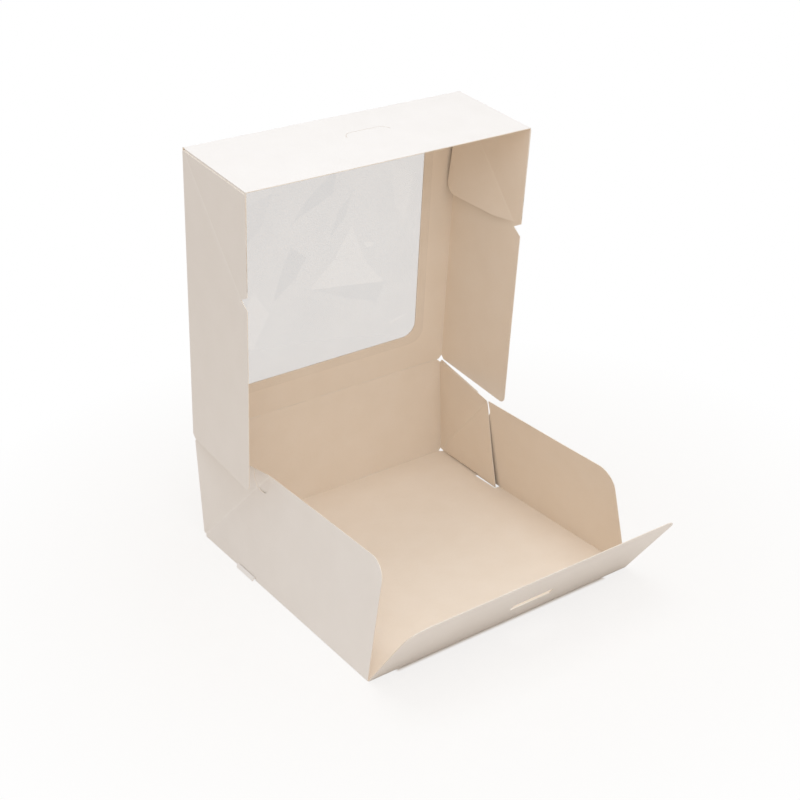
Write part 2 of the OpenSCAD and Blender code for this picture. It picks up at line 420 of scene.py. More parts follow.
@dataclass
class Skin:
    """Mesh of one folded piece, gathered panel by panel."""

    thickness: float
    verts: list[Vector] = field(default_factory=list)
    faces: list[tuple[int, ...]] = field(default_factory=list)
    slots: list[int] = field(default_factory=list)
    # painted highlight share of each vertex along creases and folds
    painted_light_values: list[float] = field(default_factory=list)
    plan: list[Point] = field(default_factory=list)

    def _vertex(self, position: Vector, highlight_share: float, plan: Point) -> int:
        """Adds one vertex.

        Args:
            position: its place.
            highlight_share: share of painted highlight that a crease or fold lays on it.
            plan: its place on the flat sheet.

        Returns:
            Its index.
        """
        self.verts.append(position)
        self.painted_light_values.append(highlight_share)
        self.plan.append(plan)
        return len(self.verts) - 1

    def _face(self, corners: tuple[int, ...], slot: Face) -> None:
        """Adds one face."""
        self.faces.append(corners)
        self.slots.append(slot.value)

    def panel(
        self,
        plane: Plane,
        outline: Loop,
        holes: Sequence[Loop] = (),
        bow: Bow = flat,
        creases: Sequence[Crease] = (),
        spacing: float = 6 * MM,
    ) -> None:
        """Adds a sheet with both faces and its cut edges.

        Args:
            plane: placement of the sheet's middle surface.
            outline: the sheet's outline in the plane.
            holes: openings through it.
            bow: outward displacement of the middle surface.
            creases: pressed lines.
            spacing: size of the mesh's triangles.
        """
        loops = [refined(loop, spacing) for loop in (outline, *holes)]
        arrays = [np.array(loop) for loop in loops]
        points, edges = joined(loops)
        rim = np.array(points)
        low, high = rim.min(0), rim.max(0)
        rows = max(2, int((high[1] - low[1]) / (spacing * ROW_SHARE)))
        grid: list[Point] = []
        for r in range(1, rows):
            y = low[1] + (high[1] - low[1]) * r / rows
            shift = spacing * (0.25 if r % 2 else 0.75)
            grid += [(float(x), float(y)) for x in np.arange(low[0] + shift, high[0], spacing)]
        beside = [p for crease in creases for p in crease.rows(spacing * CREASE_SHARE)]
        for candidates, clear in ((beside, CREASE_CLEAR), (grid, spacing * RIM_SHARE)):
            if not candidates:
                continue
            c = np.array(candidates)
            c = c[inside(c, arrays)]
            have = np.array(points)
            gap = np.sqrt(((c[:, None, :] - have[None, :, :]) ** 2).sum(2)).min(1)
            points += [(float(x), float(y)) for x, y in c[gap > clear]]
        uv, triangles, centres = triangulated(points, edges)
        triangles = [f for f, keep in zip(triangles, inside(centres, arrays)) if keep]
        rise = bow(uv[:, 0], uv[:, 1])
        # Share of painted highlight at each point, strongest on a crease's line.
        highlight_share = np.zeros(len(uv))
        for crease in creases:
            s = crease.strength(uv[:, 0], uv[:, 1])
            rise = rise - crease.depth * s
            highlight_share = np.maximum(highlight_share, s)
        half = self.thickness / 2
        outer, inner = (
            [
                self._vertex(plane.at(u, v, h + level), m, (u, v))
                for (u, v), h, m in zip(uv, rise, highlight_share)
            ]
            for level in (half, -half)
        )
        proper = plane.along.cross(plane.up).dot(plane.out) > 0
        uses: dict[tuple[int, int], int] = {}
        for f in triangles:
            f = anticlockwise(f, uv)
            face, back = (f, f[::-1]) if proper else (f[::-1], f)
            self._face(tuple(outer[i] for i in face), Face.OUTSIDE)
            self._face(tuple(inner[i] for i in back), Face.INSIDE)
            for i in range(3):
                uses[(f[i], f[(i + 1) % 3])] = 1
        for i, j in uses:
            if (j, i) in uses:
                continue
            quad = (outer[i], inner[i], inner[j], outer[j])
            self._face(quad if proper else quad[::-1], Face.CUT_EDGE)

    def fold(self, start: Vector, end: Vector, first: Vector, last: Vector, steps: int = 5) -> None:
        """Adds the rounded back of a fold, which carries a painted highlight.

        Args:
            start: one end of the fold line.
            end: its other end.
            first: outward normal of the first panel.
            last: outward normal of the second panel.
            steps: number of strips round the fold.
        """
        radius = self.thickness / 2
        axis = (end - start).normalized()
        angle = first.angle(last)
        if first.cross(last).dot(axis) < 0:
            angle = -angle
        length = (end - start).length
        rings: Edges = []
        for k in range(steps + 1):
            # Each ring of the rounded back carries the fold's painted highlight.
            normal = Matrix.Rotation(angle * k / steps, 3, axis) @ first
            low = self._vertex(start + normal * radius, FOLD_HIGHLIGHT, (0.0, k * radius))
            high = self._vertex(end + normal * radius, FOLD_HIGHLIGHT, (length, k * radius))
            rings.append((low, high))
        cores = (self._vertex(start, 0.0, (0.0, 0.0)), self._vertex(end, 0.0, (length, 0.0)))
        for (a, b), (c, d) in zip(rings, rings[1:]):
            quad, near, far = (a, b, d, c), (cores[0], a, c), (cores[1], d, b)
            if angle > 0:
                quad, near, far = quad[::-1], near[::-1], far[::-1]
            self._face(quad[::-1], Face.OUTSIDE)
            self._face(near[::-1], Face.CUT_EDGE)
            self._face(far[::-1], Face.CUT_EDGE)

    def build(self, name: str, materials: Sequence[bpy.types.Material]) -> bpy.types.Object:
        """Makes the gathered mesh into an object.

        Args:
            name: name of the object.
            materials: outside, inside and cut edge.

        Returns:
            The new object, linked to the scene.
        """
        mesh = bpy.data.meshes.new(name)
        mesh.from_pydata([tuple(v) for v in self.verts], [], self.faces)
        for material in materials:
            mesh.materials.append(material)
        mesh.polygons.foreach_set("material_index", self.slots)
        mesh.polygons.foreach_set("use_smooth", [True] * len(self.faces))
        layer = mesh.uv_layers.new(name="board")
        for loop in mesh.loops:
            u, v = self.plan[loop.vertex_index]
            layer.data[loop.index].uv = (0.5 + u / SHEET_SPAN, 0.5 + v / SHEET_SPAN)
        # The crease attribute carries each vertex's share of painted highlight to the board's
        # material.
        crease = mesh.attributes.new("crease", "FLOAT", "POINT")
        crease.data.foreach_set("value", self.painted_light_values)
        mesh.set_sharp_from_angle(angle=SHARP_ANGLE)
        mesh.update()
        return linked(name, mesh)


class Nodes:
    """Small helper that places and links shader nodes."""

    def __init__(self, owner: bpy.types.Material | bpy.types.World) -> None:
        """Empties a node tree.

        Args:
            owner: the material or the world to fill.
        """
        owner.use_nodes = True
        self.tree = owner.node_tree
        self.tree.nodes.clear()

    def add(self, kind: str, **settings: object) -> bpy.types.Node:
        """Adds a node.

        Args:
            kind: the node's type, without its ShaderNode prefix.
            **settings: properties of the node.

        Returns:
            The new node.
        """
        node = self.tree.nodes.new("ShaderNode" + kind)
        for key, value in settings.items():
            setattr(node, key, value)
        return node

    def link(self, source: bpy.types.NodeSocket, target: bpy.types.NodeSocket) -> None:
        """Links two sockets."""
        self.tree.links.new(source, target)

    def noise(self, source: bpy.types.NodeSocket, scale: float, detail: float) -> bpy.types.Node:
        """Adds a noise texture.

        Args:
            source: its coordinates.
            scale: how fine it is, per metre.
            detail: number of octaves.

        Returns:
            The noise node.
        """
        node = self.add("TexNoise")
        node.inputs["Scale"].default_value = scale
        node.inputs["Detail"].default_value = detail
        self.link(source, node.inputs["Vector"])
        return node

    def ramp(
        self, source: bpy.types.NodeSocket, low: float, high: float, to_low: float, to_high: float
    ) -> bpy.types.NodeSocket:
        """Maps one range of values onto another.

        Args:
            source: the value.
            low: lower end of the range that comes in.
            high: upper end of it.
            to_low: what the lower end becomes.
            to_high: what the upper end becomes.

        Returns:
            The mapped value's socket.
        """
        node = self.add("MapRange")
        self.link(source, node.inputs["Value"])
        for key, value in zip(
            ("From Min", "From Max", "To Min", "To Max"), (low, high, to_low, to_high)
        ):
            node.inputs[key].default_value = value
        return node.outputs["Result"]

    def mix(
        self,
        factor: bpy.types.NodeSocket,
        a: bpy.types.NodeSocket | Colour,
        b: bpy.types.NodeSocket | Colour,
    ) -> bpy.types.NodeSocket:
        """Mixes two colours.

        Args:
            factor: share of the second colour.
            a: first colour or its socket.
            b: second colour or its socket.

        Returns:
            The mixed colour's socket.
        """
        node = self.add("Mix", data_type="RGBA")
        self.link(factor, node.inputs[0])
        for socket, value in ((node.inputs[6], a), (node.inputs[7], b)):
            if isinstance(value, tuple):
                socket.default_value = (*value, 1.0)
            else:
                self.link(value, socket)
        return node.outputs[2]

    def math(
        self, operation: str, a: bpy.types.NodeSocket, b: bpy.types.NodeSocket | None = None
    ) -> bpy.types.NodeSocket:
        """Adds a calculation on one or two values.

        Args:
            operation: name of the operation.
            a: first value.
            b: second value, where the operation has one.

        Returns:
            The result's socket.
        """
        node = self.add("Math", operation=operation)
        self.link(a, node.inputs[0])
        if b is not None:
            self.link(b, node.inputs[1])
        return node.outputs[0]

    def bump(
        self, height: bpy.types.NodeSocket, strength: float, distance: float
    ) -> bpy.types.Node:
        """Adds a bump.

        Args:
            height: the relief.
            strength: how strongly it shows.
            distance: its depth in metres.

        Returns:
            The bump node.
        """
        node = self.add("Bump")
        node.inputs["Strength"].default_value = strength
        node.inputs["Distance"].default_value = distance
        self.link(height, node.inputs["Height"])
        return node

    def seen_plainly(self) -> bpy.types.NodeSocket:
        """Tells the rays that show the background, straight or through the film.

        Returns:
            A socket that is 1 for those rays and 0 for the others.
        """
        path = self.add("LightPath")
        return self.math(
            "MAXIMUM", path.outputs["Is Camera Ray"], path.outputs["Is Transmission Ray"]
        )

    def blend(
        self,
        factor: bpy.types.NodeSocket,
        first: bpy.types.Node,
        second: bpy.types.Node,
        output: str,
    ) -> None:
        """Mixes two shaders into the tree's output.

        Args:
            factor: share of the second shader.
            first: first shader.
            second: second shader.
            output: the output node's type.
        """
        blend = self.add("MixShader")
        for source, socket in zip((factor, first.outputs[0], second.outputs[0]), blend.inputs):
            self.link(source, socket)
        self.link(blend.outputs[0], self.add(output).inputs["Surface"])


@dataclass(frozen=True)
class BoardFinish:
    """Paper surface with mottled fibre, a fine tooth and a painted highlight along its pressed
    creases and folds.
    """

    name: str
    colour: Colour
    shade: Colour
    # crease is the colour of the painted highlight along creases and folds
    crease: Colour
    roughness: float
    tooth: float
    fleck: float
    cloud_scale: float = 38.0
    fibre_scale: float = 620.0
    tooth_scale: float = 1900.0
    tooth_depth: float = 0.12 * MM
    wave: float = 0.10
    wave_depth: float = 1.2 * MM
    gloss: float = 0.35
    gloss_spread: float = 0.06

    def material(self) -> bpy.types.Material:
        """Makes the material.

        Returns:
            The finished node material.
        """
        material = bpy.data.materials.new(self.name)
        n = Nodes(material)
        where = n.add("TexCoord").outputs["Object"]
        cloud = n.noise(where, self.cloud_scale, 4.0)
        fibre = n.noise(where, self.fibre_scale, 6.0)
        speck = n.noise(where, self.tooth_scale, 2.0)
        base = n.mix(n.ramp(cloud.outputs["Fac"], 0.35, 0.68, 0.0, 0.55), self.colour, self.shade)
        base = n.mix(n.ramp(fibre.outputs["Fac"], 0.52, 0.78, 0.0, self.fleck), base, self.shade)
        # Painted highlight: the colour turns towards the crease colour along creases and folds.
        pressed = n.add("Attribute", attribute_name="crease")
        base = n.mix(n.ramp(pressed.outputs["Fac"], 0.0, 1.0, 0.0, 0.95), base, self.crease)
        shader = n.add("BsdfPrincipled")
        n.link(base, shader.inputs["Base Color"])
        low, high = self.roughness - self.gloss_spread, self.roughness + self.gloss_spread
        n.link(n.ramp(fibre.outputs["Fac"], 0.3, 0.7, low, high), shader.inputs["Roughness"])
        shader.inputs["Specular IOR Level"].default_value = self.gloss
        tooth = n.bump(speck.outputs["Fac"], self.tooth, self.tooth_depth)
        wave = n.bump(cloud.outputs["Fac"], self.wave, self.wave_depth)
        n.link(tooth.outputs["Normal"], wave.inputs["Normal"])
        n.link(wave.outputs["Normal"], shader.inputs["Normal"])
        out = n.add("OutputMaterial")
        n.link(shader.outputs["BSDF"], out.inputs["Surface"])
        return material


@dataclass(frozen=True)
class FilmFinish:
    """Thin clear film with a slight haze; its facets differ a little in tone. In the window, the
    film's colour and the tone of its facets are painted reflections of a dark room.
    """

    name: str
    # dark and light are the two painted reflection colours between which the facet tone picks
    dark: Colour
    light: Colour
    opacity: float
    haze_scale: float = 26.0
    sway: float = 0.12
    ripple: float = 0.15
    ripple_depth: float = 0.8 * MM

    def material(self) -> bpy.types.Material:
        """Makes the material.

        Returns:
            The finished node material.
        """
        material = bpy.data.materials.new(self.name)
        n = Nodes(material)
        shader = n.add("BsdfPrincipled")
        # Painted reflection: the facet tone, swayed by the haze noise, picks a colour between dark
        # and light.
        tone = n.add("Attribute", attribute_name="tone")
        where = n.add("TexCoord").outputs["Object"]
        haze = n.noise(where, self.haze_scale, 3.0)
        sway = n.ramp(haze.outputs["Fac"], 0.3, 0.7, -self.sway, self.sway)
        total = n.math("ADD", tone.outputs["Fac"], sway)
        colour = n.mix(n.ramp(total, 0.0, 1.0, 0.0, 1.0), self.dark, self.light)
        n.link(colour, shader.inputs["Base Color"])
        shader.inputs["Alpha"].default_value = self.opacity
        n.link(n.ramp(haze.outputs["Fac"], 0.3, 0.7, 0.10, 0.18), shader.inputs["Roughness"])
        ripple = n.bump(haze.outputs["Fac"], self.ripple, self.ripple_depth)
        n.link(ripple.outputs["Normal"], shader.inputs["Normal"])
        out = n.add("OutputMaterial")
        n.link(shader.outputs["BSDF"], out.inputs["Surface"])
        return material


@dataclass(frozen=True)
class BoardSet:
    """The three surfaces of the board."""

    # In each finish, crease is the colour of the painted highlight along creases and folds.
    outside: BoardFinish = BoardFinish(
        name="board_white_outside",
        colour=(0.885, 0.862, 0.845),
        shade=(0.858, 0.833, 0.812),
        crease=(0.925, 0.905, 0.890),
        roughness=0.52,
        tooth=0.20,
        fleck=0.25,
    )
    inside: BoardFinish = BoardFinish(
        name="board_cream_inside",
        colour=(0.900, 0.800, 0.690),
        shade=(0.868, 0.760, 0.640),
        crease=(0.925, 0.830, 0.715),
        roughness=0.70,
        tooth=0.35,
        fleck=0.45,
    )
    cut_edge: BoardFinish = BoardFinish(
        name="board_cut_edge",
        colour=(0.930, 0.870, 0.795),
        shade=(0.790, 0.695, 0.590),
        crease=(0.930, 0.870, 0.795),
        roughness=0.85,
        tooth=0.60,
        fleck=0.70,
    )

    def materials(self) -> list[bpy.types.Material]:
        """Outside, inside and cut edge, in slot order."""
        return [self.outside.material(), self.inside.material(), self.cut_edge.material()]


@dataclass
class Tray:
    """Floor, back wall, leaning side walls and glued rear corners."""

    sizes: BoxSizes
    flap_foot: float = 88 * MM
    flap_top: float = 93.4 * MM
    flap_drop: float = 1 * MM
    flap_lift: float = 2 * MM
    flap_clip: float = 4 * MM
    facet_open: float = math.radians(3)
    tab_length: float = 28 * MM
    tab_reach: float = 3 * MM
    tab_rise: float = 2.4 * MM
    tab_base: float = 0.3 * MM
    tab_clearance: float = 0.8 * MM
    slot_rise: float = 0.7 * MM
    slot_reach: float = 4.8 * MM
    notch_at: float = 84.5 * MM
    notch_width: float = 20 * MM
    notch_depth: float = 17.5 * MM
    notch_flat: float = 2 * MM
    slit_length: float = 34 * MM
    slit_at: float = 49.5 * MM
    slit_lip: float = 0.45 * MM
    hinge_cut_length: float = 17 * MM
    hinge_cuts: tuple[float, ...] = tuple((k * 43.5 - 12) * MM for k in range(-2, 3))
    hinge_tongue_rise: float = 0.57 * MM
    hinge_tongue_gap: float = 0.4 * MM
    relief: float = 3.4 * MM
    wall_bow: float = 0.9 * MM
    flap_belly: float = 0.5 * MM
    wall_crease: float = 0.10 * MM
    flap_crease: float = 0.08 * MM

    def _corner(self, inset: float = 0.0) -> Vector:
        """The left rear corner of the fold lines, moved inwards by an inset."""
        s = self.sizes
        return Vector((-(s.side_x - inset), s.rear_y, s.half_board))

    def _panel_plane(self, inset: float = 0.0) -> Plane:
        """Plane of the left wall's leaning front part.

        Args:
            inset: how far the plane lies inside the board's middle.

        Returns:
            The plane, with the corner as origin.
        """
        a = self.sizes.lean
        return Plane(
            self._corner(inset),
            Vector((0, -1, 0)),
            Vector((math.sin(a), 0, math.cos(a))),
            Vector((-math.cos(a), 0, math.sin(a))),
        )

    def _corner_plane(self, inset: float = 0.0) -> Plane:
        """Plane of the left wall's upright rear corner.

        Args:
            inset: how far the plane lies inside the board's middle.

        Returns:
            The plane, with the corner as origin.
        """
        a = self.sizes.lean
        return Plane(
            self._corner(inset),
            Vector((math.sin(a), -math.cos(a), 0)),
            Vector((0, 0, 1)),
            Vector((-math.cos(a), -math.sin(a), 0)),
        )

    def _notch(self) -> Loop:
        """Outline of the relief notch.

        Returns:
            Its points from the front rim to the rear rim.
        """
        s = self.sizes
        half, r = self.notch_width / 2, self.notch_width / 2 - self.notch_flat
        bottom = s.panel_height - self.notch_depth
        front, rear = self.notch_at + half, self.notch_at - half
        return [
            *arc((front - r, bottom + r), r, 0, -90, 8),
            *arc((rear + r, bottom + r), r, 270, 180, 8),
        ]

    def side_wall(self, skin: Skin, side: Side) -> None:
        """Adds one side wall.

        Args:
            skin: mesh that takes it.
            side: left or right.
        """
        s = self.sizes
        h, length, r = s.panel_height, s.panel_length, s.corner
        ratio = math.cos(s.lean)
        diagonal = Crease((0.0, 0.0), (h * ratio, h), self.wall_crease)
        slot_rear = self.flap_foot - self.tab_length - self.tab_clearance
        slot_front = self.flap_foot + self.tab_clearance
        notch = self._notch()
        bottom_of_notch = h - self.notch_depth
        on_notch = bottom_of_notch * ratio
        front_part = [p for p in notch if p[0] > on_notch + 0.2 * MM]
        outline = [
            (self.relief, 0.0),
            (slot_rear, 0.0),
            (slot_rear, self.slot_rise),
            (slot_front, self.slot_rise),
            (slot_front, 0.0),
            (length, 0.0),
            *arc((length - r, h - r), r, 0, 90, 12),
            (self.notch_at + self.notch_width / 2, h),
            *front_part,
            (on_notch, bottom_of_notch),
            (self.relief * 0.7, self.relief * 0.72),
        ]

        def lean_bow(u: np.ndarray, v: np.ndarray) -> np.ndarray:
            """Inward bow of the free part, largest at its top."""
            away = np.clip((u - v * ratio) / length, 0, 1)
            return -self.wall_bow * np.sin(math.pi * away) * (v / h) ** 1.2

        plane = self._panel_plane().mirrored(side)
        skin.panel(plane, outline, bow=lean_bow, creases=[diagonal])
        rear_notch = [(p[0] / ratio, p[1]) for p in notch if p[0] < on_notch - 0.2 * MM]
        rear_x = (self.notch_at - self.notch_width / 2) / ratio
        outline = [
            (self.relief * 0.72, self.relief * 0.7),
            (on_notch / ratio, bottom_of_notch * ratio),
            *rear_notch,
            (rear_x, h - rear_x * (1 - ratio)),
            (self.relief, h),
            (0.0, h - self.relief),
            (0.0, self.relief),
        ]
        crease = Crease((0.0, 0.0), (h, h * ratio), self.wall_crease)
        skin.panel(self._corner_plane().mirrored(side), outline, creases=[crease])
        for low, high in ((self.relief, slot_rear), (slot_front, length)):
            skin.fold(plane.at(low, 0), plane.at(high, 0), Vector((0, 0, -1)), plane.out)

    def corner_flap(self, skin: Skin, side: Side) -> None:
        """Adds the flap that is glued inside a rear corner, with its locking tab.

        Args:
            skin: mesh that takes it.
            side: left or right.
        """
        s = self.sizes
        h, lift, ratio = s.panel_height, self.flap_lift, math.cos(s.lean)
        top = h - self.flap_drop
        upper = [
            (0.0, lift),
            (lift, lift * ratio),
            (top, top * ratio),
            (top - 1.5 * MM, top * ratio + 0.6 * MM),
            (self.relief, top),
            (0.0, top - self.relief),
        ]
        plane = self._corner_plane(s.glue_step)
        crease = Crease((0, 0), (h, h * ratio), self.flap_crease)
        skin.panel(plane.mirrored(side), upper, creases=[crease])
        pivot = self._corner(s.glue_step)
        axis = Vector((math.tan(s.lean), -1, 1))
        lower_plane = self._panel_plane(s.glue_step).turned(pivot, axis, self.facet_open)
        tab_rear = self.flap_foot - self.tab_length
        foot_height = s.board - 0.1 * MM
        lower = [
            (lift * ratio, lift),
            (tab_rear, lift),
            (tab_rear, foot_height),
            (self.flap_foot, foot_height),
            (self.flap_foot, lift),
            (self.flap_top, top - self.flap_clip),
            (top * ratio, top),
        ]

        def belly(u: np.ndarray, v: np.ndarray) -> np.ndarray:
            """Inward bow of the facet that stands off."""
            away = np.clip((u - v * ratio) / self.flap_foot, 0, 1)
            return -self.flap_belly * np.sin(math.pi * away) * np.clip(v / h * 3, 0, 1)

        skin.panel(
            lower_plane.mirrored(side),
            lower,
            bow=belly,
            creases=[Crease((0, 0), (h * ratio, h), self.flap_crease)],
            spacing=5 * MM,
        )
        base = self._corner_plane(s.glue_step).mirrored(side)
        rear_face = Vector((0, 1, 0))
        skin.fold(base.at(0, lift), base.at(0, top - self.relief), rear_face, base.out)
        rear = s.rear_y - tab_rear
        reach = s.width / 2 + self.tab_reach
        slope = Vector((self.tab_reach - self.tab_base, 0, self.tab_rise)).normalized()
        foot = Plane(
            Vector((-reach + 0.25 * MM, rear - self.tab_length, self.tab_base)),
            Vector((0, 1, 0)),
            slope,
            Vector((-slope.z, 0, slope.x)),
        )
        rise = math.hypot(self.tab_reach, self.tab_rise) - self.tab_base
        outline = [
            (0.0, 0.0),
            *arc((self.tab_length - rise, rise), rise, -90, 0, 8),
            (0.0, rise),
        ]
        skin.panel(foot.mirrored(side), outline, spacing=3 * MM)

    def floor(self, skin: Skin) -> None:
        """Adds the floor with its two slits and the openings for the tabs.

        Args:
            skin: mesh that takes it.
        """
        s = self.sizes
        plane = Plane(
            Vector((0, 0, s.half_board)), Vector((1, 0, 0)), Vector((0, 1, 0)), Vector((0, 0, -1))
        )
        rear, x, r = s.rear_y, s.side_x, self.relief
        front_slot = s.rear_y - self.flap_foot - self.tab_clearance
        rear_slot = front_slot + self.tab_length + 2 * self.tab_clearance
        inner = s.side_x - s.glue_step - self.slot_reach
        lip = rear - self.slit_lip
        near, far = self.slit_at - self.slit_length / 2, self.slit_at + self.slit_length / 2
        right = [
            (x, s.front_y),
            (x, front_slot),
            (inner, front_slot),
            (inner, rear_slot),
            (x, rear_slot),
            (x, rear - r),
            (x - r * 0.75, rear - r * 0.75),
            (x - r, rear),
            (far, rear),
            (far, lip),
            (near, lip),
            (near, rear),
        ]
        outline = right + [(-p[0], p[1]) for p in reversed(right)]
        skin.panel(plane, outline)

    def back_wall(self, skin: Skin) -> None:
        """Adds the back wall and the fold at its foot.

        Args:
            skin: mesh that takes it.
        """
        s = self.sizes
        plane = Plane(
            Vector((0, s.rear_y, s.half_board)),
            Vector((1, 0, 0)),
            Vector((0, 0, 1)),
            Vector((0, 1, 0)),
        )
        half, r = s.side_x - s.glue_step, self.relief
        h = s.panel_height + s.half_board - 0.02 * MM
        lip = self.slit_lip
        near, far = self.slit_at - self.slit_length / 2, self.slit_at + self.slit_length / 2
        right = [
            (near, 0.0),
            (near, lip),
            (far, lip),
            (far, 0.0),
            (half - r, 0.0),
            (half, r),
            (half, h - r),
            (half - r, h),
        ]
        left = [(-p[0], p[1]) for p in reversed(right)]
        lip_top = h + self.hinge_tongue_rise
        crest: Loop = []
        for middle in reversed(self.hinge_cuts):
            for at, up in ((1, h), (1, lip_top), (-1, lip_top), (-1, h)):
                reach = self.hinge_cut_length / 2 - self.hinge_tongue_gap
                crest.append((middle + at * reach, up))
        skin.panel(plane, right + crest + left)
        for low, high in ((-half + r, -far), (-near, near), (far, half - r)):
            skin.fold(plane.at(low, 0), plane.at(high, 0), Vector((0, 0, -1)), plane.out)

    def build(self, board: Sequence[bpy.types.Material]) -> bpy.types.Object:
        """Builds the tray in place of its solid.

        Args:
            board: the board's three materials.

        Returns:
            The tray's object.
        """
        skin = Skin(self.sizes.board)
        self.floor(skin)
        self.back_wall(skin)
        for side in Side:
            self.side_wall(skin, side)
            self.corner_flap(skin, side)
        obj = skin.build("tray_board", board)
        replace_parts(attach(obj, "base"), "base_tray")
        return obj


@dataclass
class FrontFlap:
    """Front wall of the tray, open and leaning outwards, with its locking slot."""

    sizes: BoxSizes
    bow: float = 0.35 * MM

    def build(self, board: Sequence[bpy.types.Material]) -> bpy.types.Object:
        """Builds the flap in place of its solid.

        Args:
            board: the board's three materials.

        Returns:
            The flap's object.
        """
        s = self.sizes
        up = s.flap_up
        plane = Plane(
            s.flap_root,
            Vector((1, 0, 0)),
            Vector((0, -math.cos(up), math.sin(up))),
            Vector((0, -math.sin(up), -math.cos(up))),
        )
        half, length, r = s.width / 2 - s.flap_side_gap, s.flap_length, s.corner
        outline = [
            (-half, 0.0),
            (half, 0.0),
            *arc((half - r, length - r), r, 0, 90, 14),
            *arc((-half + r, length - r), r, 90, 180, 14),
        ]
        low, high = s.slot_from, s.slot_from + s.slot_height
        left, right = s.lock_at - s.slot_width / 2, s.lock_at + s.slot_width / 2
        slot = [(left, low), (right, low), (right, high), (left, high)]

        def rolled(u: np.ndarray, v: np.ndarray) -> np.ndarray:
            """Inward bow, largest in the middle of the flap."""
            along = np.sin(math.pi * np.clip(v / length, 0, 1))
            return -self.bow * along * np.cos(u / half * 1.2)

        skin = Skin(s.board)
        skin.panel(plane, outline, holes=[slot], bow=rolled, spacing=5 * MM)
        skin.fold(plane.at(-half, 0), plane.at(half, 0), plane.out, -plane.up)
        skin.fold(plane.at(-half, 0), plane.at(half, 0), -plane.up, -plane.out)
        obj = skin.build("front_flap_board", board)
        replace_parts(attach(obj, "flap"), "front_flap")
        return obj


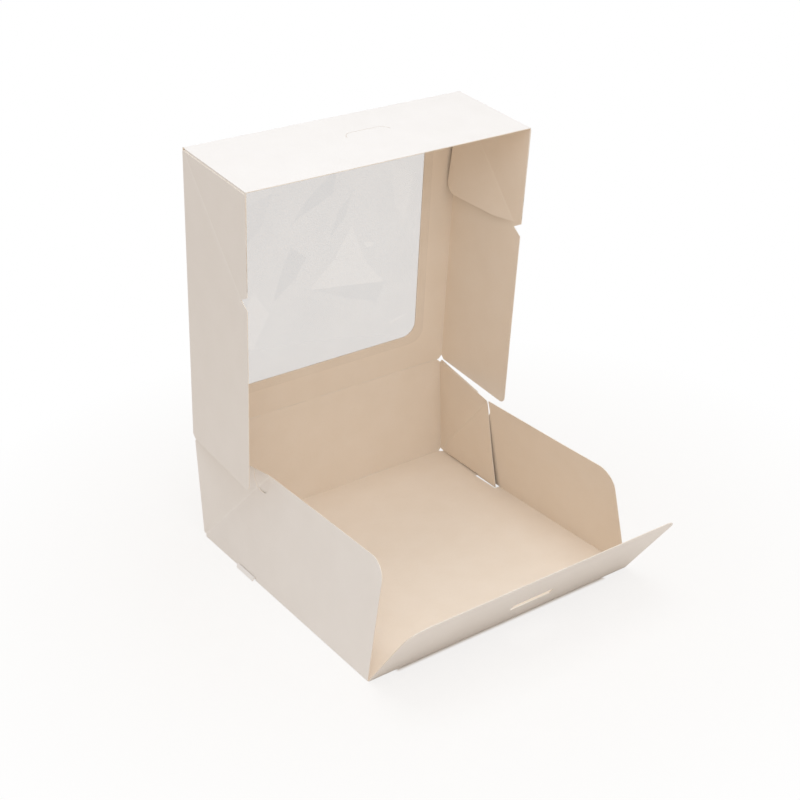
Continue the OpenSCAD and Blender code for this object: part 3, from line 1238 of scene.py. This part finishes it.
@dataclass
class Lid:
    """Top panel with its window opening, three skirt walls and glued front corners."""

    sizes: BoxSizes
    frame_side: float = 33 * MM
    frame_rear: float = 34.5 * MM
    frame_front: float = 33 * MM
    window_radius: float = 13 * MM
    cut_length: float = 17 * MM
    cut_pitch: float = 43.5 * MM
    cut_at: float = -12 * MM
    cut_depth: float = 0.35 * MM
    corner: float = 6 * MM
    flap_length: float = 90 * MM
    flap_lift: float = 2.5 * MM
    facet_open: float = math.radians(8)
    vee_at: float = 88 * MM
    vee_width: float = 11 * MM
    vee_depth: float = 9 * MM
    tongue_width: float = 40 * MM
    tongue_height: float = 7.5 * MM
    tongue_from: float = 41 * MM
    tongue_cut: float = 0.3 * MM
    relief: float = 3.4 * MM
    wall_wave: float = 0.5 * MM
    front_sag: float = 0.25 * MM
    flap_belly: float = 0.8 * MM
    wall_crease: float = 0.16 * MM
    flap_crease: float = 0.08 * MM

    def posed(self, plane: Plane) -> Plane:
        """A plane of the closed lid, measured from the hinge, in the open pose.

        Args:
            plane: placement on the closed lid, with the hinge's middle as origin.

        Returns:
            The placement on the open lid.
        """
        hinge = self.sizes.hinge
        shifted = Plane(plane.origin + hinge, plane.along, plane.up, plane.out)
        return shifted.turned(hinge, Vector((1, 0, 0)), -self.sizes.lid_open)

    def top_plane(self, drop: float = 0.0) -> Plane:
        """Plane of the open lid's top panel.

        Args:
            drop: how far the plane lies inside the board's middle.

        Returns:
            The plane, with the hinge's middle as origin.
        """
        return self.posed(
            Plane(
                Vector((0, 0, -drop)), Vector((1, 0, 0)), Vector((0, -1, 0)), Vector((0, 0, 1))
            )
        )

    def window(self, margin: float = 0.0) -> Loop:
        """Outline of the window in the top panel's plane.

        Args:
            margin: how far the outline lies outside the window's edge.

        Returns:
            The outline's points.
        """
        s = self.sizes
        half = s.lid_x - self.frame_side + margin
        near, far = self.frame_rear - margin, s.lid_length - self.frame_front + margin
        r = self.window_radius
        return [
            *arc((half - r, near + r), r, -90, 0, 10),
            *arc((half - r, far - r), r, 0, 90, 10),
            *arc((-half + r, far - r), r, 90, 180, 10),
            *arc((-half + r, near + r), r, 180, 270, 10),
        ]

    def _cuts(self) -> Loop:
        """Ends of the cuts in the hinge crease, from left to right."""
        starts = [self.cut_at + k * self.cut_pitch - self.cut_length / 2 for k in range(-2, 3)]
        return [(start, start + self.cut_length) for start in starts]

    def top_panel(self, skin: Skin) -> None:
        """Adds the top panel, with the cuts in the hinge crease.

        Args:
            skin: mesh that takes it.
        """
        s = self.sizes
        x, length, r = s.lid_x, s.lid_length, self.relief
        root: Loop = [(-x + r, 0.0)]
        for low, high in self._cuts():
            root += [(low, 0.0), (low, self.cut_depth), (high, self.cut_depth), (high, 0.0)]
        root += [(x - r, 0.0)]
        outline = [*root, (x, r), (x, length), (-x, length), (-x, r)]
        plane = self.top_plane()
        skin.panel(plane, outline, holes=[self.window()])
        edges = [-x + r, *(end for ends in self._cuts() for end in ends), x - r]
        for low, high in zip(edges[::2], edges[1::2]):
            skin.fold(plane.at(low, 0), plane.at(high, 0), plane.out, -plane.up)
            skin.fold(plane.at(low, 0), plane.at(high, 0), -plane.up, -plane.out)

    def side_wall(self, skin: Skin, side: Side) -> None:
        """Adds one skirt wall.

        Args:
            skin: mesh that takes it.
            side: left or right.
        """
        s = self.sizes
        length, depth, c = s.lid_side_length, s.lid_wall, self.corner
        vee = s.lid_length - self.vee_at
        outline = [
            (self.relief, 0.0),
            (length - s.edge_gap, 0.0),
            (length, s.edge_gap),
            (length, depth),
            (vee + self.vee_width / 2, depth),
            (vee, depth - self.vee_depth),
            (vee - self.vee_width / 2, depth),
            *arc((c, depth - c), c, 90, 180, 8),
            (0.0, self.relief),
        ]
        vee_tip = (vee + 0.6 * MM, depth - self.vee_depth)
        crease = Crease((length - 3 * MM, 4 * MM), vee_tip, self.wall_crease)

        def wave(u: np.ndarray, v: np.ndarray) -> np.ndarray:
            """Inward bow, largest at the wall's rim."""
            along = np.sin(math.pi * np.clip(u / length, 0, 1))
            return -self.wall_wave * along * (v / depth) ** 1.4

        flat_plane = Plane(
            Vector((-s.lid_x, 0, 0)), Vector((0, -1, 0)), Vector((0, 0, -1)), Vector((-1, 0, 0))
        )
        plane = self.posed(flat_plane.mirrored(side))
        skin.panel(plane, outline, bow=wave, creases=[crease])
        top = self.top_plane().out
        skin.fold(plane.at(self.relief, 0), plane.at(length - s.edge_gap, 0), top, plane.out)

    def front_wall(self, skin: Skin) -> None:
        """Adds the front wall with the cut of its half-moon tongue.

        Args:
            skin: mesh that takes it.
        """
        s = self.sizes
        half, depth = s.lid_x - s.glue_step, s.lid_wall
        plane = self.posed(
            Plane(
                Vector((0, -s.lid_length, 0)),
                Vector((1, 0, 0)),
                Vector((0, 0, -1)),
                Vector((0, -1, 0)),
            )
        )
        r, cut = self.tongue_height, self.tongue_cut
        span, base = self.tongue_width / 2 - r, self.tongue_from
        tongue = [
            *arc((s.lock_at + span, base), r, 0, -90, 10),
            *arc((s.lock_at - span, base), r, 270, 180, 10),
            *arc((s.lock_at - span, base), r - cut, 180, 270, 10),
            *arc((s.lock_at + span, base), r - cut, -90, 0, 10),
        ]
        outline = [(-half, 0.0), (half, 0.0), (half, depth), (-half, depth)]

        def sag(u: np.ndarray, v: np.ndarray) -> np.ndarray:
            """Inward bow, largest in the middle of the wall."""
            down = np.sin(np.clip(v / depth, 0, 1) * 2.2)
            return -self.front_sag * np.cos(u / half * 1.57) * down

        skin.panel(plane, outline, holes=[tongue], bow=sag)
        top = self.top_plane().out
        skin.fold(plane.at(-s.lid_x, 0), plane.at(s.lid_x, 0), top, plane.out)

    def corner_flap(self, skin: Skin, side: Side) -> None:
        """Adds the flap that folds back from the front wall inside a side wall.

        Args:
            skin: mesh that takes it.
            side: left or right.
        """
        s = self.sizes
        depth, lift = s.lid_wall, self.flap_lift
        reach = self.flap_length * 0.93
        root = Vector((-(s.lid_x - s.glue_step), -s.lid_length, 0))
        glued_plane = Plane(root, Vector((0, 1, 0)), Vector((0, 0, -1)), Vector((-1, 0, 0)))
        glued = [
            (0.0, lift),
            (lift, lift),
            (reach, reach),
            (reach, depth - self.vee_depth),
            (reach - 6 * MM, depth),
            (0.0, depth),
        ]
        plane = self.posed(glued_plane.mirrored(side))
        crease = Crease((0, 0), (reach, reach), self.flap_crease)
        skin.panel(plane, glued, creases=[crease])
        front = self.posed(
            Plane(root, Vector((1, 0, 0)), Vector((0, 0, -1)), Vector((0, -1, 0)))
        )
        skin.fold(plane.at(0, lift), plane.at(0, depth), plane.out, front.out)
        free_plane = glued_plane.turned(root, Vector((0, 1, -1)), self.facet_open)
        end = self.flap_length - 3.2 * MM
        free = [
            (lift, lift),
            *arc((end - 10 * MM, lift + 10 * MM), 10 * MM, -90, 0, 8),
            (end, 60 * MM),
            (reach + 0.6 * MM, reach - 2 * MM),
            (reach, reach),
        ]

        def belly(u: np.ndarray, v: np.ndarray) -> np.ndarray:
            """Inward bow of the facet that stands off."""
            away = np.clip((u - v) / self.flap_length, 0, 1)
            return -self.flap_belly * np.sin(math.pi * away)

        skin.panel(
            self.posed(free_plane.mirrored(side)),
            free,
            bow=belly,
            creases=[crease],
            spacing=5 * MM,
        )

    def build(self, board: Sequence[bpy.types.Material]) -> bpy.types.Object:
        """Builds the lid in place of its solid.

        Args:
            board: the board's three materials.

        Returns:
            The lid's object.
        """
        skin = Skin(self.sizes.board)
        self.top_panel(skin)
        self.front_wall(skin)
        for side in Side:
            self.side_wall(skin, side)
            self.corner_flap(skin, side)
        obj = skin.build("lid_board", board)
        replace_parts(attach(obj, "cover"), "lid")
        return obj


@dataclass(frozen=True)
class Slack:
    """One soft facet of the slack film, in millimetres in the top panel's plane; its tone is a
    painted reflection.
    """

    corners: tuple[Point, ...]
    # painted reflection tone of the facet, from 0 for the dark colour to 1 for the light one
    tone: float
    drop: float


@dataclass
class WindowFilm:
    """Clear film glued inside the window frame, slack enough to show soft facets, whose tone is a
    painted reflection.
    """

    lid: Lid
    overlap: float = 9 * MM
    thickness: float = 0.15 * MM
    air: float = 0.05 * MM
    seed: int = 7
    loose_points: int = 160
    loose_clear: float = 7 * MM
    # Each facet gives its corners, its painted reflection tone and its drop.
    facets: tuple[Slack, ...] = (
        Slack(((9, 213), (4, 190), (-26, 177), (-36, 170), (-21, 190)), 0.12, 0.30),
        Slack(((23, 187), (17, 167), (3, 152), (10, 174)), 0.15, 0.25),
        Slack(
            ((24, 158), (8, 132), (-16, 109), (19, 93), (58, 98), (40, 119), (33, 135)), 0.82, 0.45
        ),
        Slack(((-35, 152), (-20, 139), (-30, 123), (-52, 105), (-44, 132)), 0.14, 0.35),
        Slack(((36, 140), (47, 137), (44, 133), (39, 135)), 1.0, 0.10),
        Slack(((60, 97), (-15, 108), (20, 91), (48, 81), (50, 74)), 0.22, 0.20),
        Slack(((45, 81), (67, 53), (84, 57), (90, 43), (83.6, 58.6), (66.4, 54.8)), 1.0, 0.05),
        Slack(((-78, 196), (-52, 203), (-64, 172), (-86, 160)), 0.25, 0.30),
        Slack(((-70, 120), (-55, 96), (-72, 66), (-84, 92)), 0.80, 0.25),
        Slack(((62, 205), (84, 190), (78, 150), (66, 168)), 0.72, 0.30),
    )

    def _reflection_and_drop(self, points: np.ndarray) -> tuple[np.ndarray, np.ndarray]:
        """Painted reflection tone and drop of the film at points of its plane.

        Args:
            points: n by 2 array in the top panel's plane.

        Returns:
            The painted reflection tone from 0 to 1, and the drop below the panel in metres.
        """
        tone = np.full(len(points), 0.5)
        drop = np.zeros(len(points))
        for facet in self.facets:
            loop = np.array(facet.corners) * MM
            hit = inside(points, [loop])
            tone[hit] = facet.tone
            centre = loop.mean(0)
            reach = np.hypot(*(loop - centre).T).max()
            away = np.hypot(points[:, 0] - centre[0], points[:, 1] - centre[1]) / reach
            drop = np.maximum(drop, facet.drop * MM * np.clip(1 - away, 0, 1))
        return tone, drop

    def build(self, clear: FilmFinish, glued: FilmFinish) -> bpy.types.Object:
        """Builds the film in place of its solid.

        Args:
            clear: finish of the film in the window.
            glued: finish of the film where it lies on the frame.

        Returns:
            The film's object.
        """
        half = self.thickness / 2
        plane = self.lid.top_plane(self.lid.sizes.half_board + self.air + half)
        window = self.lid.window()
        loops = [refined(self.lid.window(self.overlap), 30 * MM), refined(window, 30 * MM)]
        loops += [[(x * MM, y * MM) for x, y in facet.corners] for facet in self.facets]
        points, edges = joined(loops)
        rng = np.random.default_rng(self.seed)
        span = np.array([self.lid.sizes.lid_x, self.lid.sizes.lid_length])
        loose = rng.random((self.loose_points, 2)) * [2 * span[0], span[1]] - [span[0], 0]
        rim = [np.array(window)]
        fixed = np.array(points)
        for p in loose[inside(loose, rim)]:
            if np.hypot(*(fixed - p).T).min() > self.loose_clear:
                points.append((float(p[0]), float(p[1])))
                fixed = np.vstack([fixed, p])
        spots, triangles, centres = triangulated(points, edges)
        within = inside(centres, [np.array(loops[0])])
        in_window = inside(centres, rim)
        tones, _ = self._reflection_and_drop(centres)
        _, drops = self._reflection_and_drop(spots)
        verts: list[Vector] = []
        faces: list[tuple[int, ...]] = []
        slots: list[int] = []
        painted_light_values: list[float] = []
        for f, keep, open_part, tone in zip(triangles, within, in_window, tones):
            if not keep:
                continue
            f = anticlockwise(f, spots)
            for level, order in ((half, f[::-1]), (-half, f)):
                first = len(verts)
                verts += [plane.at(*spots[i], level - drops[i]) for i in order]
                painted_light_values += [float(tone)] * 3
                faces.append((first, first + 1, first + 2))
                slots.append(0 if open_part else 1)
        mesh = bpy.data.meshes.new("window_film_sheet")
        mesh.from_pydata([tuple(v) for v in verts], [], faces)
        mesh.materials.append(clear.material())
        mesh.materials.append(glued.material())
        mesh.polygons.foreach_set("material_index", slots)
        # The tone attribute carries each facet's painted reflection tone to the film's material.
        attribute = mesh.attributes.new("tone", "FLOAT", "POINT")
        attribute.data.foreach_set("value", painted_light_values)
        mesh.update()
        obj = linked("window_film_sheet", mesh)
        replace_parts(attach(obj, "cover"), "window_film")
        return obj


@dataclass(frozen=True)
class Lamp:
    """One soft square lamp."""

    name: str
    place: tuple[float, float, float]
    size: float
    power: float
    colour: Colour

    def build(self, aim: Vector) -> bpy.types.Object:
        """Hangs the lamp.

        Args:
            aim: the point it faces.

        Returns:
            The lamp's object.
        """
        data = bpy.data.lights.new(self.name, "AREA")
        data.shape = "SQUARE"
        data.size = self.size
        data.energy = self.power
        data.color = self.colour
        obj = bpy.data.objects.new(self.name, data)
        place = Vector(self.place)
        obj.location = place
        obj.rotation_mode = "QUATERNION"
        obj.rotation_quaternion = (aim - place).to_track_quat("-Z", "Y")
        bpy.context.scene.collection.objects.link(obj)
        return obj


@dataclass
class Studio:
    """Pale floor, white surround, soft lamps and the camera."""

    focal: float = 1423.51
    azimuth: float = -34.128
    elevation: float = 26.363
    roll: float = -1.588
    offset: tuple[float, float, float] = (7.961, -126.561, 1198.913)
    frame: float = 800.0
    sensor: float = 36.0
    floor_half: float = 6.0
    floor_drop: float = 0.2 * MM
    floor_light: Colour = (0.88, 0.825, 0.765)
    floor_dark: Colour = (0.865, 0.81, 0.75)
    under_box: tuple[float, float] = (0.10, 0.128)
    under_edge: float = 3 * MM
    glow_radii: tuple[float, float] = (0.20, 0.45)
    glow_shares: tuple[float, float] = (0.78, 1.0)
    surround_colour: Colour = (1.0, 0.912, 0.825)
    surround_strength: float = 0.625
    aim: tuple[float, float, float] = (0.0, 0.0, 0.12)
    lamps: tuple[Lamp, ...] = (
        Lamp("key", (-0.35, -0.95, 1.40), 1.1, 7.5, (0.84, 0.92, 1.0)),
        Lamp("top", (0.0, 0.0, 1.7), 1.0, 8.0, (0.80, 0.90, 1.0)),
    )

    def camera(self) -> bpy.types.Object:
        """Makes the camera at the picture's viewing angle.

        Returns:
            The camera's object, set as the scene's camera.
        """
        az, el, roll = (math.radians(a) for a in (self.azimuth, self.elevation, self.roll))
        back = Vector(
            (math.sin(az) * math.cos(el), -math.cos(az) * math.cos(el), math.sin(el))
        )
        ahead = -back
        right = ahead.cross(Vector((0, 0, 1))).normalized()
        up = right.cross(ahead)
        x = right * math.cos(roll) + up * math.sin(roll)
        y = -right * math.sin(roll) + up * math.cos(roll)
        tx, ty, tz = (value * MM for value in self.offset)
        place = -tx * x - ty * y - tz * ahead
        data = bpy.data.cameras.new("camera")
        data.sensor_width = self.sensor
        data.lens = self.focal / self.frame * self.sensor
        data.clip_start, data.clip_end = 0.05, 20.0
        cam = bpy.data.objects.new("camera", data)
        cam.matrix_world = Matrix(
            (
                (x.x, y.x, -ahead.x, place.x),
                (x.y, y.y, -ahead.y, place.y),
                (x.z, y.z, -ahead.z, place.z),
                (0, 0, 0, 1),
            )
        )
        bpy.context.scene.collection.objects.link(cam)
        bpy.context.scene.camera = cam
        return cam

    def floor(self) -> bpy.types.Object:
        """Makes the pale floor, which keeps the box's shadow.

        Returns:
            The floor's object.
        """
        mesh = bpy.data.meshes.new("studio_floor")
        size = self.floor_half
        mesh.from_pydata(
            [(-size, -size, 0), (size, -size, 0), (size, size, 0), (-size, size, 0)],
            [],
            [(0, 1, 2, 3)],
        )
        material = bpy.data.materials.new("studio_floor")
        n = Nodes(material)
        grain = n.noise(n.add("TexCoord").outputs["Object"], 60.0, 3.0)
        worn = n.ramp(grain.outputs["Fac"], 0.3, 0.7, 0.0, 1.0)
        tone = n.mix(worn, self.floor_light, self.floor_dark)
        lit = n.add("BsdfDiffuse")
        n.link(tone, lit.inputs["Color"])
        glow = n.add("Emission")
        glow.inputs["Color"].default_value = (1, 1, 1, 1)
        glow.inputs["Strength"].default_value = 1.0
        seen = n.seen_plainly()
        place = n.add("TexCoord").outputs["Object"]
        away = n.add("VectorMath", operation="LENGTH")
        n.link(place, away.inputs[0])
        share = n.ramp(away.outputs["Value"], *self.glow_radii, *self.glow_shares)
        axes = n.add("SeparateXYZ")
        n.link(place, axes.inputs[0])
        beside, behind = (
            n.ramp(n.math("ABSOLUTE", axes.outputs[axis]), edge, edge + self.under_edge, 0.0, 1.0)
            for axis, edge in zip("XY", self.under_box)
        )
        outside = n.math("MULTIPLY", share, n.math("MAXIMUM", beside, behind))
        n.blend(n.math("MULTIPLY", seen, outside), lit, glow, "OutputMaterial")
        mesh.materials.append(material)
        obj = linked("studio_floor", mesh)
        obj.location.z = -self.floor_drop
        return obj

    def surround(self) -> None:
        """Sets a white surround that lights the box evenly."""
        world = bpy.data.worlds.new("surround")
        bpy.context.scene.world = world
        n = Nodes(world)
        light, white = n.add("Background"), n.add("Background")
        for shader, colour, strength in (
            (light, self.surround_colour, self.surround_strength),
            (white, (1.0, 1.0, 1.0), 1.0),
        ):
            shader.inputs["Color"].default_value = (*colour, 1.0)
            shader.inputs["Strength"].default_value = strength
        n.blend(n.seen_plainly(), light, white, "OutputWorld")

    def build(self) -> None:
        """Sets the stage: camera, floor, surround and lamps."""
        self.camera()
        self.floor()
        self.surround()
        for lamp in self.lamps:
            lamp.build(Vector(self.aim))
        bpy.context.scene.view_settings.view_transform = "Standard"


def main() -> None:
    """Builds the box piece by piece."""
    logging.basicConfig(level=logging.INFO, format="%(name)s: %(message)s")
    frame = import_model()
    LOG.info("%d solids to dress", len(frame["nodes"]))
    Studio().build()
    sizes = BoxSizes()
    board = BoardSet().materials()
    lid = Lid(sizes)
    pieces = [Tray(sizes).build(board), FrontFlap(sizes).build(board), lid.build(board)]
    # The clear film's brown-grey colours are painted reflections of a dark room.
    clear = FilmFinish("window_film_clear", (0.29, 0.240, 0.20), (0.64, 0.585, 0.53), opacity=0.22)
    glued = FilmFinish("window_film_glued", (0.80, 0.72, 0.62), (0.84, 0.76, 0.66), opacity=0.03)
    pieces.append(WindowFilm(lid).build(clear, glued))
    for piece in pieces:
        LOG.info("%s: %d faces", piece.name, len(piece.data.polygons))


if __name__ == "__main__":
    main()
